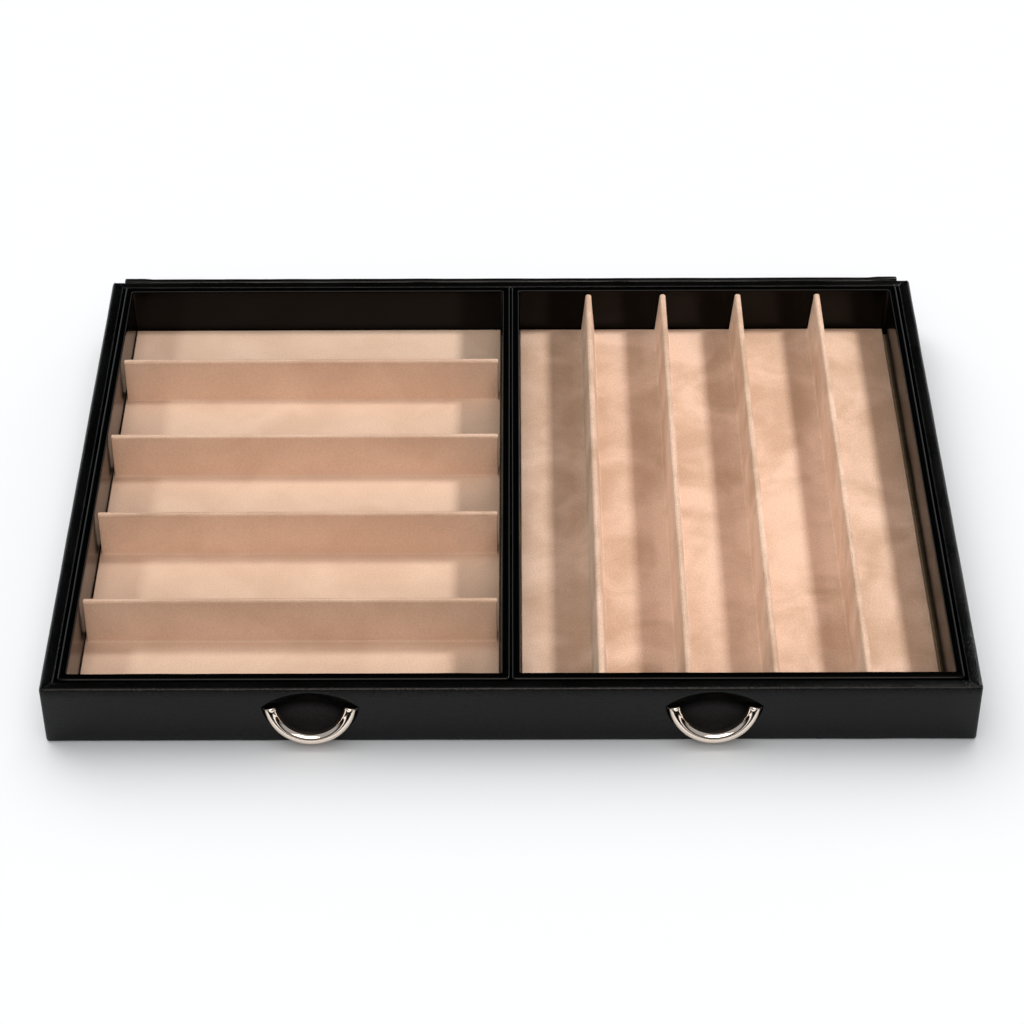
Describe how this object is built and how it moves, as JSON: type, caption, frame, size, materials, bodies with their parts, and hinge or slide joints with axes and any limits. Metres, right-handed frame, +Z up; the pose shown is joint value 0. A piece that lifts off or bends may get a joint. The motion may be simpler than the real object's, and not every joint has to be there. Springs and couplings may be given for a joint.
{
  "type": "cufflink drawer",
  "caption": "Shallow leather-covered drawer with two framed velour inserts, one with cross lanes and one with long lanes, and half-ring pulls set in recesses on the front.",
  "frame": {"origin": "centre of the drawer's underside, midway between its side walls and between its front face and its rear wall", "axes": "+X to the drawer's right as seen from the front, +Y from the front face to the back, +Z up"},
  "size_m": [0.33, 0.2483, 0.0264],
  "materials": {
    "shell_leather": "black grained calf leather with a light polish",
    "frame_leather": "smooth black leather",
    "panel_leather": "black grained leather on the back strip",
    "recess_leather": "smooth dark leather",
    "underside_leather": "plain black lining leather",
    "velour": "short-pile beige velour",
    "board": "plain fibreboard",
    "card": "grey bookbinding card",
    "ring_metal": "polished plating",
    "pin_steel": "ground steel wire"
  },
  "bodies": {
    "drawer": {"front_leather": "shell_leather", "back_leather": "shell_leather", "left_leather": "shell_leather", "right_leather": "shell_leather", "base_lining": "underside_leather", "base_board": "board", "front_board": "board", "back_board": "board", "left_board": "board", "right_board": "board", "left_recess_lining": "recess_leather", "left_pull_pins": "pin_steel", "left_frame_leather": "frame_leather", "left_frame_front_card": "card", "left_frame_back_card": "card", "left_frame_left_card": "card", "left_frame_right_card": "card", "right_recess_lining": "recess_leather", "right_pull_pins": "pin_steel", "right_frame_leather": "frame_leather", "right_frame_front_card": "card", "right_frame_back_card": "card", "right_frame_left_card": "card", "right_frame_right_card": "card", "back_panel_card": "card", "back_panel_leather": "panel_leather"},
    "left_pull": {"left_pull_ring": "ring_metal"},
    "right_pull": {"right_pull_ring": "ring_metal"},
    "left_insert": {"left_insert_card": "card", "left_insert_velour": "velour", "cross_divider_1_card": "card", "cross_divider_1_velour": "velour", "cross_divider_2_card": "card", "cross_divider_2_velour": "velour", "cross_divider_3_card": "card", "cross_divider_3_velour": "velour", "cross_divider_4_card": "card", "cross_divider_4_velour": "velour"},
    "right_insert": {"right_insert_card": "card", "right_insert_velour": "velour", "fin_divider_1_card": "card", "fin_divider_1_velour": "velour", "fin_divider_2_card": "card", "fin_divider_2_velour": "velour", "fin_divider_3_card": "card", "fin_divider_3_velour": "velour", "fin_divider_4_card": "card", "fin_divider_4_velour": "velour"}
  },
  "joints": [
    {"name": "left_pull_hinge", "type": "hinge", "parent": "drawer", "child": "left_pull", "pos_m": [-0.0705, -0.11945, 0.0151], "axis": [-1, 0, 0], "range_deg": [0, 75]},
    {"name": "right_pull_hinge", "type": "hinge", "parent": "drawer", "child": "right_pull", "pos_m": [0.0715, -0.11945, 0.0151], "axis": [-1, 0, 0], "range_deg": [0, 75]},
    {"name": "left_insert_lift", "type": "slide", "parent": "drawer", "child": "left_insert", "axis": [0, 0, 1], "range_m": [0, 0.03]},
    {"name": "right_insert_lift", "type": "slide", "parent": "drawer", "child": "right_insert", "axis": [0, 0, 1], "range_m": [0, 0.03]}
  ]
}
